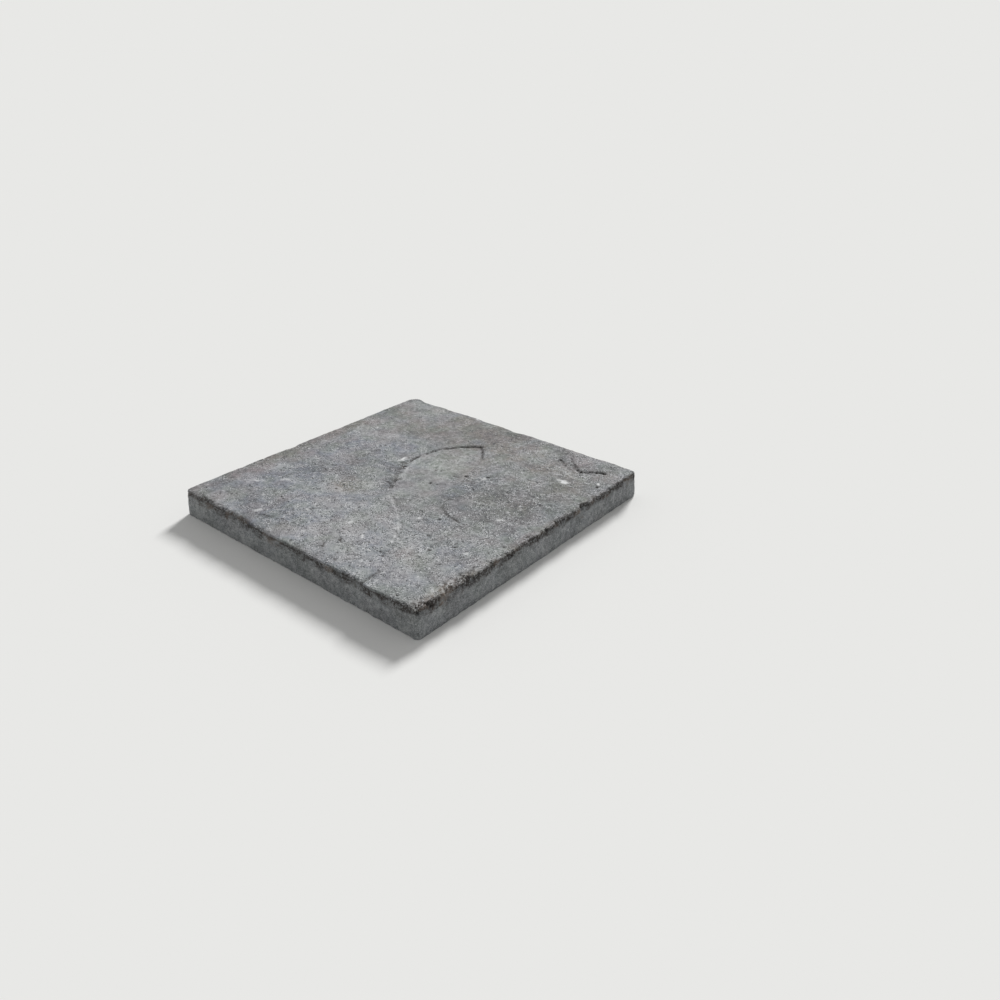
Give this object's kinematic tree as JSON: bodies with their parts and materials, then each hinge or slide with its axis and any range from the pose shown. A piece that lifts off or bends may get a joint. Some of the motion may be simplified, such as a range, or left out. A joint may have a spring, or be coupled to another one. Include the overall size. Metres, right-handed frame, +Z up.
{
  "type": "concrete paving slab",
  "caption": "Square cast concrete paving slab with a riven face, a leaf-shaped flake in it, worn arrises and a flat bed.",
  "frame": {"origin": "middle of the flat bed that the slab is laid on", "axes": "+Z up out of the riven face, +X along the side that runs across the path, +Y along the side that runs with it"},
  "size_m": [0.45, 0.45, 0.0387],
  "materials": {
    "cast_concrete": "matte"
  },
  "bodies": {
    "root": {"paving_slab": "cast_concrete"}
  },
  "joints": []
}
